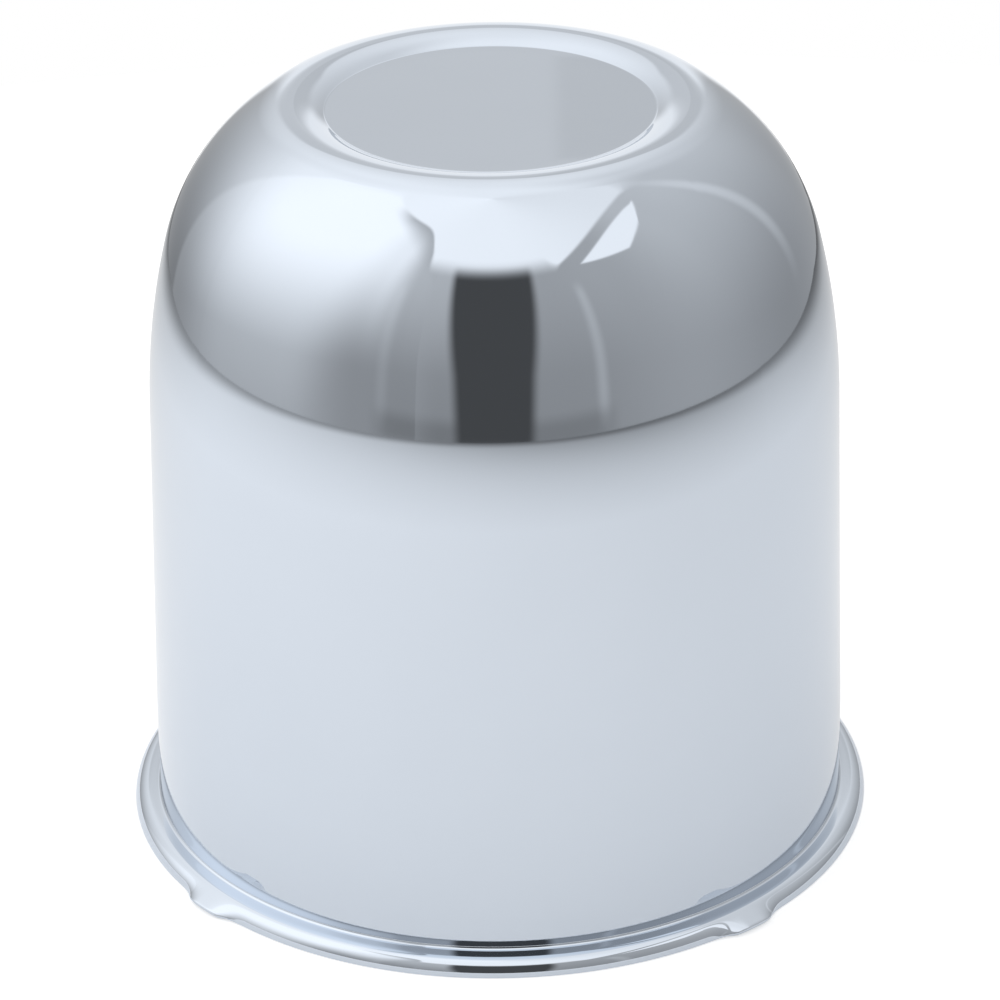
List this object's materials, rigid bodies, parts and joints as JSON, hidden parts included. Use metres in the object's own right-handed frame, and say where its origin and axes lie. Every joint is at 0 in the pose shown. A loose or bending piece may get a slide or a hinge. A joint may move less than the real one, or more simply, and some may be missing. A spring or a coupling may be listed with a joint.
{
  "type": "center cap",
  "caption": "Tall domed chrome wheel center cap: a drawn steel cup with a sunk flat crown disc and a rolled flange that stops it in the wheel's bore.",
  "frame": {"origin": "on the cap's axis, in the plane of the lip's edge that it stands on", "axes": "+Z along the cap's axis, from the open mouth to the crown"},
  "size_m": [0.116, 0.116, 0.1168],
  "materials": {
    "chrome": "bright chrome plate on polished steel"
  },
  "bodies": {
    "root": {"cap_shell": "chrome"}
  },
  "joints": []
}
